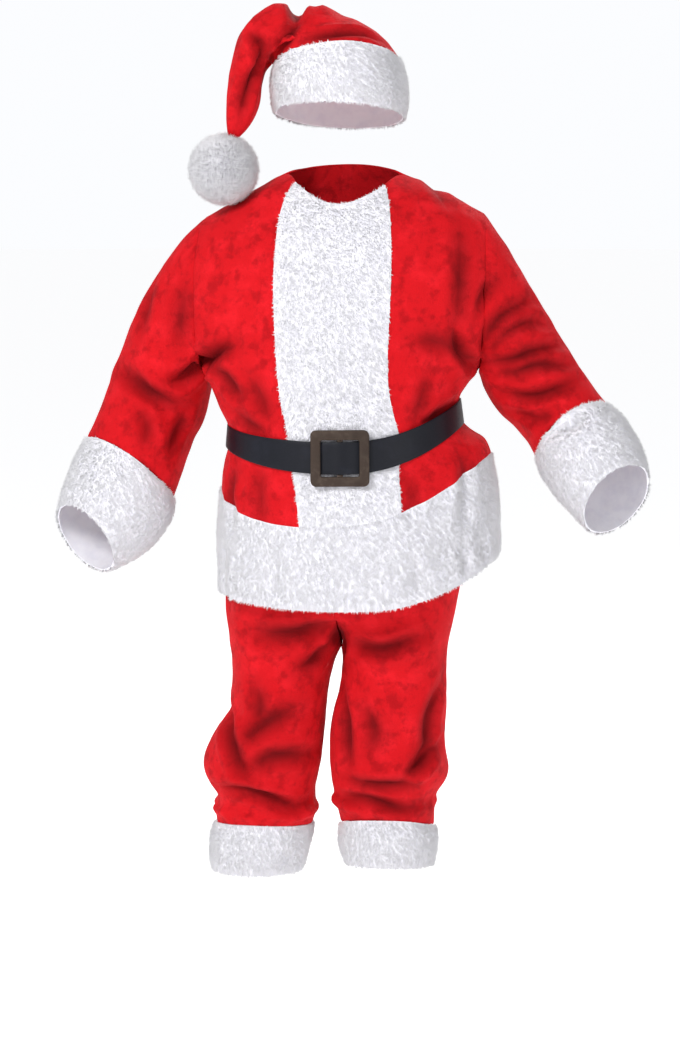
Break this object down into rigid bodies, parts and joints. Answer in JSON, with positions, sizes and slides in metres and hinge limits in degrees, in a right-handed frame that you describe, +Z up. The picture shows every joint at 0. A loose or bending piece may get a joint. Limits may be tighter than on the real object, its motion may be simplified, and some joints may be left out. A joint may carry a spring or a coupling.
{
  "type": "santa suit",
  "caption": "Plush santa suit, worn and hollow: pompom hat, belted jacket with wide pile bands and full cuffs, and trousers with pile cuffs.",
  "frame": {"origin": "middle of the base of the neck, between the shoulders that carry the suit", "axes": "+X to the wearer's left, +Y to the wearer's back, +Z up; the suit faces -Y"},
  "size_m": [1.0007, 0.36, 1.4505],
  "materials": {
    "red_plush": "short velvety plush",
    "white_plush": "white pile, lambswool-like",
    "belt_leather": "black imitation leather, half gloss",
    "buckle_metal": "old, darkened, satin"
  },
  "bodies": {
    "root": {"jacket_front_right": "red_plush", "jacket_front_left": "red_plush", "jacket_back": "red_plush", "sleeve_right": "red_plush", "sleeve_left": "red_plush", "front_band": "white_plush", "hem_band": "white_plush", "cuff_right": "white_plush", "cuff_left": "white_plush", "hat_crown": "red_plush", "hat_band": "white_plush", "pompom": "white_plush", "waistband": "red_plush", "trouser_leg_right": "red_plush", "trouser_leg_left": "red_plush", "trouser_cuff_right": "white_plush", "trouser_cuff_left": "white_plush", "belt_strap": "belt_leather", "buckle": "buckle_metal"}
  },
  "joints": []
}
